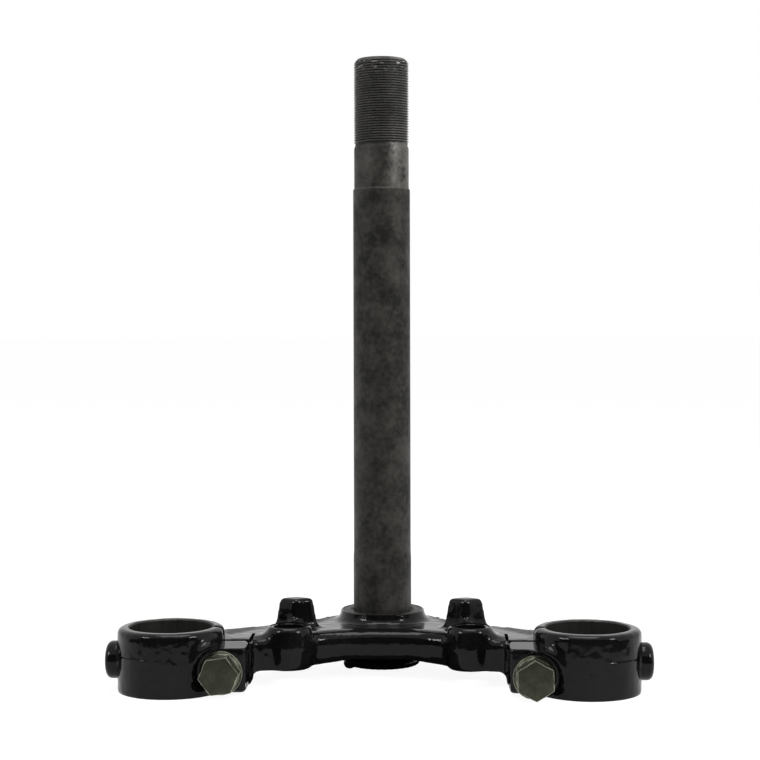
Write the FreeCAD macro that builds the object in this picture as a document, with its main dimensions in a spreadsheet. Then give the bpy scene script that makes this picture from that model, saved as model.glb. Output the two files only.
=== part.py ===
import FreeCAD, Part
import math
import os
import Sketcher
from FreeCAD import Placement, Rotation, Vector

# Steering stem of a small motorbike: a forged lower yoke, a pressed and welded stem tube and two pinch bolts.
# Millimetres. The origin is on the stem's axis in the plane of the bearing collar's top face.
# +X is towards the right-hand fork leg in the front view, +Y towards the rider, +Z up along the stem.

# Driving sizes: name, value and what it measures.
SIZES = (
    ("stem_reach", 219.5, "stem's top above the collar face"),
    ("stem_tail", 22.0, "stem's lower end below the collar face"),
    ("stem_bore", 14.0, "bore through the stem tube"),
    ("stem_tip_edge", 1.6, "chamfer on the stem's top edge"),
    ("thread_dia", 21.8, "major diameter of the top thread"),
    ("thread_run", 33.6, "length of the top thread"),
    ("relief_dia", 20.6, "groove that ends the thread"),
    ("relief_width", 2.4, "length of that groove"),
    ("relief_lead", 0.8, "slope at the groove's lower end"),
    ("upper_seat_dia", 21.8, "seat of the upper bearing"),
    ("upper_seat_run", 15.5, "length of the upper seat"),
    ("shoulder_edge", 0.7, "bevel under the upper seat"),
    ("tube_dia", 22.7, "plain middle of the stem"),
    ("lower_seat_dia", 23.0, "seat of the lower bearing"),
    ("lower_seat_run", 20.4, "lower seat's top above the collar face"),
    ("seat_lead", 3.4, "cone from the lower seat to the plain tube"),
    ("press_dia", 24.2, "stem where it is pressed in the hub"),
    ("fork_spacing", 155.0, "distance between the fork legs"),
    ("fork_offset", 48.8, "fork legs in front of the stem"),
    ("fork_bore", 31.0, "bore of a clamp ring"),
    ("ring_wall", 4.2, "wall of a clamp ring"),
    ("ring_rise", 1.0, "ring's top above the collar face"),
    ("ring_height", 23.4, "height of a clamp ring"),
    ("ring_top_bevel", 1.1, "bevel on the ring's top outer edge"),
    ("ring_foot_bevel", 0.5, "bevel on the ring's bottom outer edge"),
    ("ring_cover", 0.3, "ring's outside beyond the arm's end inside it"),
    ("web_drop", 4.2, "web's top below the collar face"),
    ("web_thick", 11.1, "thickness of the web and arms"),
    ("web_front", 28.0, "web's front face in front of the stem"),
    ("web_flat", 12.0, "half width of the web's straight front"),
    ("web_front_blend", 45.0, "plan radius between web front and arm front"),
    ("arm_setback", 3.6, "arm's front face behind the clamp slot at the ear"),
    ("arm_back_x", 42.5, "shoulder on the arm's back, sideways"),
    ("arm_back_y", 14.0, "shoulder on the arm's back, forwards"),
    ("arm_back_root", 10.0, "where the arm's back line would cross the middle plane"),
    ("arm_back_blend", 16.0, "plan radius at that shoulder"),
    ("front_round", 4.5, "round on the top front edge"),
    ("back_bevel", 1.5, "bevel on the top back edge"),
    ("under_bevel", 0.8, "bevel on the web's lower edges"),
    ("hub_margin", 5.1, "hub's outside beyond the collar"),
    ("hub_blend", 8.0, "plan radius between hub and arm"),
    ("ring_blend", 10.0, "plan radius between arm and ring, at the back"),
    ("collar_dia", 33.2, "bearing collar"),
    ("collar_flare", 1.7, "sloped foot of the collar"),
    ("collar_edge", 0.4, "bevel on the collar's top edge"),
    ("stem_countersink", 0.8, "countersink round the stem in the collar face"),
    ("under_hub_dia", 30.0, "round pad under the hub"),
    ("under_hub_drop", 3.2, "that pad below the web"),
    ("ear_reach", 29.4, "ears' inner end from the fork axis"),
    ("ear_front_depth", 13.2, "front ear from the slot's middle"),
    ("ear_back_depth", 12.6, "threaded ear from the slot's middle"),
    ("ear_drop", 4.05, "ears' top below the collar face"),
    ("ear_height", 17.0, "height of the ears"),
    ("ear_bevel", 1.2, "bevel on the ears' outer edges"),
    ("slot_width", 2.4, "clamp slot"),
    ("bolt_inset", 20.2, "pinch bolt from the fork axis"),
    ("bolt_drop", 14.1, "pinch bolt below the collar face"),
    ("spot_face_dia", 20.6, "flat milled for the bolt's flange"),
    ("boss_spacing", 68.8, "distance between the bracket holes"),
    ("boss_offset", 36.0, "bracket holes in front of the stem"),
    ("boss_dia", 17.0, "boss round a bracket hole"),
    ("boss_hole_dia", 11.6, "bracket hole"),
    ("boss_drop", 0.7, "boss's top below the collar face"),
    ("boss_foot", 1.0, "boss's foot below the web"),
    ("boss_bevel", 1.3, "bevel on the boss's top edge"),
    ("lug_spacing", 65.6, "distance between the stop lugs"),
    ("lug_offset", 20.2, "lug's widest line in front of the stem"),
    ("lug_rise", 6.7, "lug's top above the collar face"),
    ("lug_root", 2.8, "lug's foot below the web's top"),
    ("lug_width", 15.0, "lug's width at the web"),
    ("lug_top_width", 11.7, "lug's width at its top"),
    ("lug_nose", 5.0, "lug's front ridge before its widest line, at the web"),
    ("lug_top_nose", 4.2, "the same at the top"),
    ("lug_heel", 4.7, "lug's back behind its widest line, at the web"),
    ("lug_top_heel", 3.4, "the same at the top"),
    ("lug_bevel", 0.8, "bevel on the lug's edges"),
    ("side_boss_dia", 14.0, "round boss on the ring's outer side"),
    ("side_boss_drop", 11.0, "that boss below the collar face"),
    ("side_boss_root", 2.8, "that boss's root inside the ring's outside"),
    ("side_boss_reach", 4.4, "that boss beyond the ring"),
    ("side_boss_bevel", 1.3, "bevel on that boss's edge"),
    ("bolt_dia", 8.0, "pinch bolt thread"),
    ("bolt_length", 24.5, "pinch bolt under its flange"),
    ("bolt_across_flats", 13.0, "pinch bolt hex"),
    ("bolt_head", 8.4, "pinch bolt head with its flange"),
    ("flange_dia", 16.2, "pinch bolt flange"),
    ("flange_thick", 1.5, "flange at its rim"),
    ("flange_rise", 0.9, "cone of the flange up to the hex"),
    ("hex_chamfer", 0.6, "chamfer on the hex corners, sideways"),
    ("hex_chamfer_fall", 0.35, "the same chamfer, along the bolt"),
    ("hex_turn_left", 7.0, "turn of the left hex from flats level, degrees"),
    ("hex_turn_right", 32.0, "turn of the right hex from flats level, degrees"),
    ("bolt_play", 0.3, "room round the bolt in the front ear"),
    ("thread_play", 0.05, "room round the bolt in the threaded ear"),
    ("weld_leg", 3.4, "weld along the stem, under the hub"),
    ("weld_reach", 2.8, "weld along the hub"),
    ("weld_crown", 1.1, "upright and level edges of the weld's bead"),
    ("weld_lump_dia", 5.2, "lump where the weld starts, at the hub"),
    ("weld_lump_tip", 2.6, "the same at its tip"),
    ("weld_lump_turn", 149.0, "lump's place round the stem from the right, degrees, clockwise from above"),
)

# Two measures closer than this count as the same.
SAME = 0.01

doc = FreeCAD.newDocument("steering_stem")


def make_sheet():
    """Spreadsheet with a row for each driving size."""
    sheet = doc.addObject("Spreadsheet::Sheet", "sizes")
    for row, (name, number, meaning) in enumerate(SIZES, start=1):
        sheet.set(f"A{row}", meaning)
        sheet.set(f"B{row}", str(number))
        sheet.setAlias(f"B{row}", name)
    doc.recompute()
    return sheet


sizes = make_sheet()


def value(formula):
    """Number that a formula of sheet sizes gives now."""
    return float(sizes.evalExpression(formula))


# Turn about the fork's axis that the arm's outline runs on past the end of its blend, inside the ring.
BLEND_MARGIN = "1.5 deg"

# Places that several pieces share, as formulas of the sheet.
FORK_X = "(sizes.fork_spacing / 2)"
FORK_Y = "(-sizes.fork_offset)"
RING_R = "(sizes.fork_bore / 2 + sizes.ring_wall)"
RING_BOTTOM = "(sizes.ring_rise - sizes.ring_height)"
WEB_TOP = "(-sizes.web_drop)"
WEB_BOTTOM = "(-sizes.web_drop - sizes.web_thick)"
HUB_R = "(sizes.collar_dia / 2 + sizes.hub_margin)"
UNDER_HUB = f"({WEB_BOTTOM} - sizes.under_hub_drop)"
EAR_INNER = f"({FORK_X} - sizes.ear_reach)"
BORE_SIDE = f"({FORK_X} - sizes.fork_bore / 2)"
FRONT_SWEEP = (
    f"((sizes.fork_offset - sizes.arm_setback - sizes.web_front) / ({EAR_INNER} - sizes.web_flat))"
)
ARM_END = f"({RING_R} - sizes.ring_cover)"
ARM_TURN = f"atan2(sizes.fork_offset - sizes.arm_back_y; sizes.arm_back_x - {FORK_X})"
BLEND_TURN = f"(asin(sizes.ring_blend / ({ARM_END} + sizes.ring_blend)) + {BLEND_MARGIN})"
EAR_FACE = "(sizes.fork_offset + sizes.ear_front_depth)"
BOLT_X = f"({FORK_X} - sizes.bolt_inset)"
BOLT_Z = "(-sizes.bolt_drop)"
BOSS_X = "(sizes.boss_spacing / 2)"
BOSS_BOTTOM = f"({WEB_BOTTOM} - sizes.boss_foot)"
LUG_X = "(sizes.lug_spacing / 2)"


def new_body(name):
    """Empty body; its label is the piece's name."""
    body = doc.addObject("PartDesign::Body", name)
    body.Label = name
    return body


def origin_plane(body, role):
    """One of the body's own base planes."""
    for feature in body.Origin.OriginFeatures:
        if feature.Role == role:
            return feature
    raise ValueError(f"no plane {role}")


def new_sketch(body, name, role, lift="0"):
    """Sketch on a base plane, lifted along the plane's normal by a formula."""
    sketch = body.newObject("Sketcher::SketchObject", name)
    sketch.AttachmentSupport = (origin_plane(body, role), [""])
    sketch.MapMode = "FlatFace"
    sketch.AttachmentOffset = Placement(Vector(0, 0, value(lift)), Rotation())
    sketch.setExpression("AttachmentOffset.Base.z", lift)
    return sketch


def pin_point(sketch, geometry, point, corner):
    """Tie a point's distances from the sketch's origin to two formulas."""
    axes = (("DistanceX", -2), ("DistanceY", -1))
    for (kind, axis), formula in zip(axes, corner):
        if formula == "0":
            sketch.addConstraint(Sketcher.Constraint("PointOnObject", geometry, point, axis))
            continue
        index = sketch.addConstraint(Sketcher.Constraint(kind, -1, 1, geometry, point, value(formula)))
        sketch.setExpression(f"Constraints[{index}]", formula)


def draw_outline(sketch, corners):
    """Closed outline of straight runs through corners given as pairs of formulas."""
    places = [Vector(value(across), value(up), 0) for across, up in corners]
    for start, end in zip(places, places[1:] + places[:1]):
        sketch.addGeometry(Part.LineSegment(start, end))
    for run in range(len(places)):
        follower = (run + 1) % len(places)
        sketch.addConstraint(Sketcher.Constraint("Coincident", run, 2, follower, 1))
    for run, corner in enumerate(corners):
        pin_point(sketch, run, 1, corner)


def draw_circle(sketch, centre, radius):
    """Circle whose centre and radius are formulas."""
    place = Vector(value(centre[0]), value(centre[1]), 0)
    circle = sketch.addGeometry(Part.Circle(place, Vector(0, 0, 1), value(radius)))
    pin_point(sketch, circle, 3, centre)
    index = sketch.addConstraint(Sketcher.Constraint("Radius", circle, value(radius)))
    sketch.setExpression(f"Constraints[{index}]", radius)


def finish_feature(body, feature):
    """Make a feature the body's last one, compute it and stop if it failed."""
    body.Tip = feature
    doc.recompute()
    if feature.Shape.isNull() or "Invalid" in feature.State or "Error" in feature.State:
        raise RuntimeError(f"{feature.Name} failed: {feature.State}")
    return feature


def add_pad(body, sketch, length, backwards=False):
    """Pad along the sketch's normal, or against it."""
    pad = body.newObject("PartDesign::Pad", sketch.Name + "_pad")
    pad.Profile = sketch
    pad.Reversed = backwards
    pad.setExpression("Length", length)
    return finish_feature(body, pad)


def add_pocket(body, sketch, length, backwards=False):
    """Pocket along the sketch's normal, or against it."""
    volume = body.Shape.Volume
    pocket = body.newObject("PartDesign::Pocket", sketch.Name + "_pocket")
    pocket.Profile = sketch
    pocket.Reversed = not backwards
    pocket.setExpression("Length", length)
    finish_feature(body, pocket)
    if body.Shape.Volume >= volume:
        raise ValueError(f"{sketch.Name} cuts nothing")
    return pocket


def add_turning(body, sketch, kind="PartDesign::Revolution", degrees=360):
    """Profile turned about the sketch's upright axis, half of the angle to each side."""
    turning = body.newObject(kind, sketch.Name + "_turn")
    turning.Profile = sketch
    turning.ReferenceAxis = (sketch, ["V_Axis"])
    turning.Angle = degrees
    turning.Midplane = True
    return finish_feature(body, turning)


def edge_points(edge):
    """Start, middle and end of an edge."""
    first, last = edge.ParameterRange
    return [edge.valueAt(place) for place in (first, (first + last) / 2, last)]


def add_edge_feature(body, kind, name, size_name, size, test):
    """Fillet or chamfer on the edges whose start, middle and end pass a test."""
    names = []
    for number, edge in enumerate(body.Shape.Edges, start=1):
        if test(edge_points(edge)):
            names.append(f"Edge{number}")
    if not names:
        raise ValueError(f"no edge for {name}")
    base = body.Tip
    feature = body.newObject(kind, name)
    feature.Base = (base, names)
    feature.setExpression(size_name, size)
    return finish_feature(body, feature)


def add_fillet(body, name, radius, test):
    """Round the edges that pass a test."""
    return add_edge_feature(body, "PartDesign::Fillet", name, "Radius", radius, test)


def add_chamfer(body, name, width, test):
    """Bevel the edges that pass a test."""
    return add_edge_feature(body, "PartDesign::Chamfer", name, "Size", width, test)


def close(one, other):
    """Whether two measures are the same."""
    return abs(one - other) < SAME


def every(test):
    """Test for edges whose start, middle and end all pass a test of points."""
    return lambda points: all(test(point) for point in points)


def on_circle(height, radius, centre=("0", "0")):
    """Test for level edges on a circle about an upright axis."""
    level = value(height)
    reach = value(radius)
    x = value(centre[0])
    y = value(centre[1])
    return every(lambda point: close(point.z, level) and close(math.hypot(point.x - x, point.y - y), reach))


def on_upright(x, y):
    """Test for edges on the upright line through x, y."""
    return every(lambda point: close(point.x, x) and close(point.y, y))


def on_front(height):
    """Test for the level edges along the front of the web and arm."""
    level = value(height)
    front = value("-sizes.web_front")
    bore = value(BORE_SIDE)
    return every(lambda point: close(point.z, level) and point.y < front + SAME and point.x < bore)


def round_upright_near(body, name, radius, x, y):
    """Round the upright edge of the body that is nearest to a plan point."""
    def distance(edge):
        points = edge_points(edge)
        foot = points[0]
        if not on_upright(foot.x, foot.y)(points):
            return math.inf
        return math.hypot(foot.x - x, foot.y - y)

    corner = edge_points(min(body.Shape.Edges, key=distance))[0]
    add_fillet(body, name, radius, on_upright(corner.x, corner.y))


def make_web(body):
    """Right half of the web: hub and swept arm in one thickness, with its edges eased."""
    blend_x = f"{FORK_X} + {ARM_END} / cos({BLEND_TURN}) * cos({ARM_TURN})"
    blend_y = f"{FORK_Y} + {ARM_END} / cos({BLEND_TURN}) * sin({ARM_TURN})"
    plan = new_sketch(body, "web_plan", "XY_Plane", WEB_BOTTOM)
    draw_outline(plan, (
        ("0", "-sizes.web_front"),
        ("sizes.web_flat", "-sizes.web_front"),
        (BORE_SIDE, f"-sizes.web_front - ({BORE_SIDE} - sizes.web_flat) * {FRONT_SWEEP}"),
        (FORK_X, FORK_Y),
        (f"{FORK_X} + {ARM_END} * cos({ARM_TURN} - {BLEND_TURN})",
         f"{FORK_Y} + {ARM_END} * sin({ARM_TURN} - {BLEND_TURN})"),
        (blend_x, blend_y),
        ("sizes.arm_back_x", "-sizes.arm_back_y"),
        ("0", "sizes.arm_back_root"),
    ))
    add_pad(body, plan, "sizes.web_thick")
    hub = new_sketch(body, "hub_half", "XZ_Plane")
    draw_outline(hub, (
        ("0", WEB_BOTTOM),
        (HUB_R, WEB_BOTTOM),
        (HUB_R, WEB_TOP),
        ("0", WEB_TOP),
    ))
    add_turning(body, hub, degrees=180)

    shoulder_x = value("sizes.arm_back_x")
    shoulder_y = value("-sizes.arm_back_y")
    back_root = value("sizes.arm_back_root")
    hub_r = value(HUB_R)
    round_upright_near(body, "web_front_bend", "sizes.web_front_blend",
                       value("sizes.web_flat"), value("-sizes.web_front"))
    round_upright_near(body, "arm_shoulder", "sizes.arm_back_blend", shoulder_x, shoulder_y)
    round_upright_near(body, "hub_corner", "sizes.hub_blend",
                       hub_r, back_root - (back_root - shoulder_y) / shoulder_x * hub_r)
    round_upright_near(body, "ring_corner", "sizes.ring_blend", value(blend_x), value(blend_y))

    add_fillet(body, "front_top_round", "sizes.front_round", on_front(WEB_TOP))
    add_chamfer(body, "back_top_edge", "sizes.back_bevel", on_circle(WEB_TOP, HUB_R))
    add_chamfer(body, "front_under_edge", "sizes.under_bevel", on_front(WEB_BOTTOM))
    add_chamfer(body, "back_under_edge", "sizes.under_bevel", on_circle(WEB_BOTTOM, HUB_R))


def make_collar(body):
    """Right half of the bearing collar on the hub and of the round pad under it."""
    collar_r = "sizes.collar_dia / 2"
    foot_r = f"({collar_r} + sizes.collar_flare)"
    under_r = "sizes.under_hub_dia / 2"
    middle = f"({WEB_TOP} + {WEB_BOTTOM}) / 2"
    profile = new_sketch(body, "collar_half", "XZ_Plane")
    draw_outline(profile, (
        ("0", UNDER_HUB),
        (under_r, UNDER_HUB),
        (under_r, middle),
        (foot_r, middle),
        (foot_r, WEB_TOP),
        (collar_r, f"{WEB_TOP} + sizes.collar_flare"),
        (collar_r, "-sizes.collar_edge"),
        (f"{collar_r} - sizes.collar_edge", "0"),
        ("0", "0"),
    ))
    add_turning(body, profile, degrees=180)


def make_ring(body):
    """Clamp ring with the small round boss on its outer side."""
    ring = new_sketch(body, "clamp_ring", "XY_Plane", RING_BOTTOM)
    draw_circle(ring, (FORK_X, FORK_Y), RING_R)
    add_pad(body, ring, "sizes.ring_height")
    fork = (FORK_X, FORK_Y)
    add_chamfer(body, "ring_top_edge", "sizes.ring_top_bevel", on_circle("sizes.ring_rise", RING_R, fork))
    add_chamfer(body, "ring_foot_edge", "sizes.ring_foot_bevel", on_circle(RING_BOTTOM, RING_R, fork))

    root = f"({FORK_X} + {RING_R} - sizes.side_boss_root)"
    face = f"({FORK_X} + {RING_R} + sizes.side_boss_reach)"
    side = new_sketch(body, "side_boss", "YZ_Plane", root)
    draw_circle(side, (FORK_Y, "-sizes.side_boss_drop"), "sizes.side_boss_dia / 2")
    add_pad(body, side, "sizes.side_boss_root + sizes.side_boss_reach")
    face_x = value(face)
    add_chamfer(body, "side_boss_edge", "sizes.side_boss_bevel", every(lambda point: close(point.x, face_x)))


def make_ears(body):
    """Split ears: one block, later slotted, with the ring's bore and the bolt's seat and holes."""
    top = "(-sizes.ear_drop)"
    bottom = "(-sizes.ear_drop - sizes.ear_height)"
    block = new_sketch(body, "ear_block", "XZ_Plane", EAR_FACE)
    draw_outline(block, (
        (EAR_INNER, bottom),
        (FORK_X, bottom),
        (FORK_X, top),
        (EAR_INNER, top),
    ))
    add_pad(body, block, "sizes.ear_front_depth + sizes.ear_back_depth", backwards=True)

    bore = new_sketch(body, "fork_bore", "XY_Plane", RING_BOTTOM)
    draw_circle(bore, (FORK_X, FORK_Y), "sizes.fork_bore / 2")
    add_pocket(body, bore, "sizes.ring_height")
    slot = new_sketch(body, "clamp_slot", "XY_Plane", RING_BOTTOM)
    draw_outline(slot, (
        (EAR_INNER, f"{FORK_Y} - sizes.slot_width / 2"),
        (FORK_X, f"{FORK_Y} - sizes.slot_width / 2"),
        (FORK_X, f"{FORK_Y} + sizes.slot_width / 2"),
        (EAR_INNER, f"{FORK_Y} + sizes.slot_width / 2"),
    ))
    add_pocket(body, slot, "sizes.ring_height")

    inner = value(EAR_INNER)
    face = value(f"-{EAR_FACE}")
    slot_front = value(f"{FORK_Y} - sizes.slot_width / 2")
    levels = (value(top), value(bottom))

    def outer_edge(points):
        """Edges of the front ear's face and inner end, without those along the slot."""
        if any(point.y > slot_front + SAME for point in points):
            return False
        on_face = all(close(point.y, face) for point in points)
        on_end = all(close(point.x, inner) for point in points)
        level = any(all(close(point.z, height) for point in points) for height in levels)
        return (on_face and on_end) or (level and (on_face or on_end))

    add_chamfer(body, "ear_edges", "sizes.ear_bevel", outer_edge)

    bolt = (BOLT_X, BOLT_Z)
    seat = new_sketch(body, "spot_face", "XZ_Plane", EAR_FACE)
    draw_circle(seat, bolt, "sizes.spot_face_dia / 2")
    add_pocket(body, seat, RING_R)
    clearance = new_sketch(body, "bolt_hole", "XZ_Plane", EAR_FACE)
    draw_circle(clearance, bolt, "sizes.bolt_dia / 2 + sizes.bolt_play")
    add_pocket(body, clearance, "sizes.ear_front_depth", backwards=True)
    tapped = new_sketch(body, "tapped_hole", "XZ_Plane", "sizes.fork_offset")
    draw_circle(tapped, bolt, "sizes.bolt_dia / 2 + sizes.thread_play")
    add_pocket(body, tapped, "sizes.ear_back_depth", backwards=True)


def make_bracket_boss(body):
    """Boss in front of the arm with its plain hole."""
    boss = new_sketch(body, "bracket_boss", "XY_Plane", BOSS_BOTTOM)
    centre = (BOSS_X, "-sizes.boss_offset")
    height = f"(-sizes.boss_drop) - {BOSS_BOTTOM}"
    draw_circle(boss, centre, "sizes.boss_dia / 2")
    add_pad(body, boss, height)
    add_chamfer(body, "boss_edge", "sizes.boss_bevel", on_circle("-sizes.boss_drop", "sizes.boss_dia / 2", centre))
    hole = new_sketch(body, "bracket_hole", "XY_Plane", BOSS_BOTTOM)
    draw_circle(hole, centre, "sizes.boss_hole_dia / 2")
    add_pocket(body, hole, height)


def lug_section(body, name, height, width, nose, heel):
    """Level section of the stop lug: flat back and sides, and a front that comes to a ridge."""
    section = new_sketch(body, name, "XY_Plane", height)
    left = f"{LUG_X} - {width} / 2"
    right = f"{LUG_X} + {width} / 2"
    draw_outline(section, (
        (LUG_X, f"-sizes.lug_offset - {nose}"),
        (right, "-sizes.lug_offset"),
        (right, f"-sizes.lug_offset + {heel}"),
        (left, f"-sizes.lug_offset + {heel}"),
        (left, "-sizes.lug_offset"),
    ))
    return section


def make_stop_lug(body):
    """Tapered stop lug behind the bracket boss."""
    foot = f"{WEB_TOP} - sizes.lug_root"
    base = lug_section(body, "lug_base", foot, "sizes.lug_width", "sizes.lug_nose", "sizes.lug_heel")
    top = lug_section(body, "lug_top", "sizes.lug_rise", "sizes.lug_top_width", "sizes.lug_top_nose",
                      "sizes.lug_top_heel")
    lug = body.newObject("PartDesign::AdditiveLoft", "stop_lug")
    lug.Profile = base
    lug.Sections = [top]
    lug.Ruled = True
    finish_feature(body, lug)
    web_top = value(WEB_TOP)
    crown = value("sizes.lug_rise")
    x = value(LUG_X)
    half = value("sizes.lug_width / 2")

    def lug_edge(points):
        """Edges above the web that end at the lug's top."""
        beside = all(abs(point.x - x) < half and point.z > web_top - SAME for point in points)
        return beside and any(close(point.z, crown) for point in points)

    add_chamfer(body, "lug_edges", "sizes.lug_bevel", lug_edge)


def make_stem_hole(body):
    """Hole for the stem tube, countersunk in the collar face."""
    hole = new_sketch(body, "stem_hole", "XY_Plane", UNDER_HUB)
    draw_circle(hole, ("0", "0"), "sizes.press_dia / 2")
    add_pocket(body, hole, f"-{UNDER_HUB}")
    add_chamfer(body, "stem_hole_edge", "sizes.stem_countersink", on_circle("0", "sizes.press_dia / 2"))


def make_bridge():
    """Forged lower yoke: its right half, mirrored."""
    body = new_body("bridge")
    make_web(body)
    make_collar(body)
    make_ring(body)
    make_ears(body)
    make_bracket_boss(body)
    make_stop_lug(body)
    make_stem_hole(body)
    mirror = body.newObject("PartDesign::Mirrored", "both_halves")
    mirror.MirrorPlane = (origin_plane(body, "YZ_Plane"), [""])
    mirror.TransformMode = "Whole shape"
    half_volume = body.Shape.Volume
    finish_feature(body, mirror)
    if not math.isclose(body.Shape.Volume, 2 * half_volume, rel_tol=1e-4):
        raise ValueError("the mirrored half doesn't meet the first one")
    return body


def make_stem_tube():
    """Turned stem tube with its seats, thread relief and plain thread cylinder."""
    body = new_body("stem_tube")
    bore = "sizes.stem_bore / 2"
    press = "sizes.press_dia / 2"
    seat = "sizes.lower_seat_dia / 2"
    tube = "sizes.tube_dia / 2"
    upper = "sizes.upper_seat_dia / 2"
    thread = "sizes.thread_dia / 2"
    relief = "sizes.relief_dia / 2"
    thread_start = "(sizes.stem_reach - sizes.thread_run)"
    relief_start = f"({thread_start} - sizes.relief_width)"
    shoulder = f"({relief_start} - sizes.upper_seat_run)"
    profile = new_sketch(body, "stem_profile", "XZ_Plane")
    draw_outline(profile, (
        (bore, "-sizes.stem_tail"),
        (press, "-sizes.stem_tail"),
        (press, "-sizes.stem_countersink"),
        (seat, "-sizes.stem_countersink"),
        (seat, "sizes.lower_seat_run"),
        (tube, "sizes.lower_seat_run + sizes.seat_lead"),
        (tube, f"{shoulder} - sizes.shoulder_edge"),
        (upper, shoulder),
        (upper, relief_start),
        (relief, f"{relief_start} + sizes.relief_lead"),
        (relief, thread_start),
        (thread, thread_start),
        (thread, "sizes.stem_reach - sizes.stem_tip_edge"),
        (f"{thread} - sizes.stem_tip_edge", "sizes.stem_reach"),
        (bore, "sizes.stem_reach"),
    ))
    add_turning(body, profile)
    return body


def make_weld_bead():
    """Weld round the stem's lower end under the hub, with the lump where it starts."""
    body = new_body("weld_bead")
    inner = "sizes.press_dia / 2"
    outer = f"({inner} + sizes.weld_reach)"
    toe = f"({UNDER_HUB} - sizes.weld_leg)"
    profile = new_sketch(body, "weld_profile", "XZ_Plane")
    draw_outline(profile, (
        (inner, UNDER_HUB),
        (inner, toe),
        (f"{inner} + sizes.weld_crown", toe),
        (outer, f"{UNDER_HUB} - sizes.weld_crown"),
        (outer, UNDER_HUB),
    ))
    add_turning(body, profile)

    lump = body.newObject("PartDesign::AdditiveCone", "weld_lump")
    lump.setExpression("Radius1", "sizes.weld_lump_tip / 2")
    lump.setExpression("Radius2", "sizes.weld_lump_dia / 2")
    lump.setExpression("Height", "sizes.weld_leg")
    lump.AttachmentSupport = (origin_plane(body, "XY_Plane"), [""])
    lump.MapMode = "FlatFace"
    lump.setExpression("AttachmentOffset.Base.x", f"{outer} * cos(sizes.weld_lump_turn)")
    lump.setExpression("AttachmentOffset.Base.y", f"-{outer} * sin(sizes.weld_lump_turn)")
    lump.setExpression("AttachmentOffset.Base.z", toe)
    finish_feature(body, lump)
    return body


def make_pinch_bolt(name, side, turn):
    """Hex flange bolt, made upright on its seat and laid with its head to the front."""
    body = new_body(name)
    shank = "sizes.bolt_dia / 2"
    flange = "sizes.flange_dia / 2"
    crown = "(sizes.flange_thick + sizes.flange_rise)"
    profile = new_sketch(body, name + "_profile", "XZ_Plane")
    draw_outline(profile, (
        ("0", "-sizes.bolt_length"),
        (shank, "-sizes.bolt_length"),
        (shank, "0"),
        (flange, "0"),
        (flange, "sizes.flange_thick"),
        ("sizes.bolt_across_flats / 2", crown),
        ("0", crown),
    ))
    add_turning(body, profile)
    corner = "(sizes.bolt_across_flats / 2 / cos(30))"
    hexagon = new_sketch(body, name + "_hex", "XY_Plane", "sizes.flange_thick")
    draw_outline(hexagon, [
        (f"{corner} * cos({step} * 60 + {turn})", f"{corner} * sin({step} * 60 + {turn})") for step in range(6)
    ])
    add_pad(body, hexagon, "sizes.bolt_head - sizes.flange_thick")
    bevel = new_sketch(body, name + "_bevel", "XZ_Plane")
    draw_outline(bevel, (
        (f"{corner} - sizes.hex_chamfer", "sizes.bolt_head"),
        (f"{corner} + sizes.hex_chamfer", "sizes.bolt_head - 2 * sizes.hex_chamfer_fall"),
        (f"{corner} + sizes.hex_chamfer", "sizes.bolt_head"),
    ))
    add_turning(body, bevel, kind="PartDesign::Groove")
    place = Vector(value(f"{side} * {BOLT_X}"), value(f"-{EAR_FACE}"), value(BOLT_Z))
    body.Placement = Placement(place, Rotation(Vector(1, 0, 0), 90))
    body.setExpression("Placement.Base.x", f"{side} * {BOLT_X}")
    body.setExpression("Placement.Base.y", f"-{EAR_FACE}")
    body.setExpression("Placement.Base.z", BOLT_Z)
    doc.recompute()
    return body


def check_document(pieces):
    """Stop if any object failed or any piece isn't one sound solid."""
    for item in doc.Objects:
        if "Invalid" in item.State or "Error" in item.State:
            raise RuntimeError(f"{item.Label} failed: {item.State}")
    for piece in pieces:
        shape = piece.Shape
        if shape.isNull() or not shape.isValid() or len(shape.Solids) != 1:
            raise RuntimeError(f"{piece.Label} isn't one sound solid")


def main():
    """Build every piece, check it and write its file."""
    pieces = (
        make_bridge(),
        make_stem_tube(),
        make_weld_bead(),
        make_pinch_bolt("pinch_bolt_left", "-1", "sizes.hex_turn_left"),
        make_pinch_bolt("pinch_bolt_right", "1", "sizes.hex_turn_right"),
    )
    check_document(pieces)
    os.makedirs("parts", exist_ok=True)
    for piece in pieces:
        piece.Shape.exportStep(os.path.join("parts", piece.Label + ".step"))
        box = piece.Shape.BoundBox
        print(f"{piece.Label}: volume {piece.Shape.Volume:.0f}, "
              f"x {box.XMin:.2f} {box.XMax:.2f}, y {box.YMin:.2f} {box.YMax:.2f}, z {box.ZMin:.2f} {box.ZMax:.2f}")


main()
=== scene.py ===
"""A motorbike's steering stem: painted yoke, turned stem tube, weld seam and pinch bolts on a pale floor."""

import math

import bpy
from mathutils import Matrix, Vector


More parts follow.
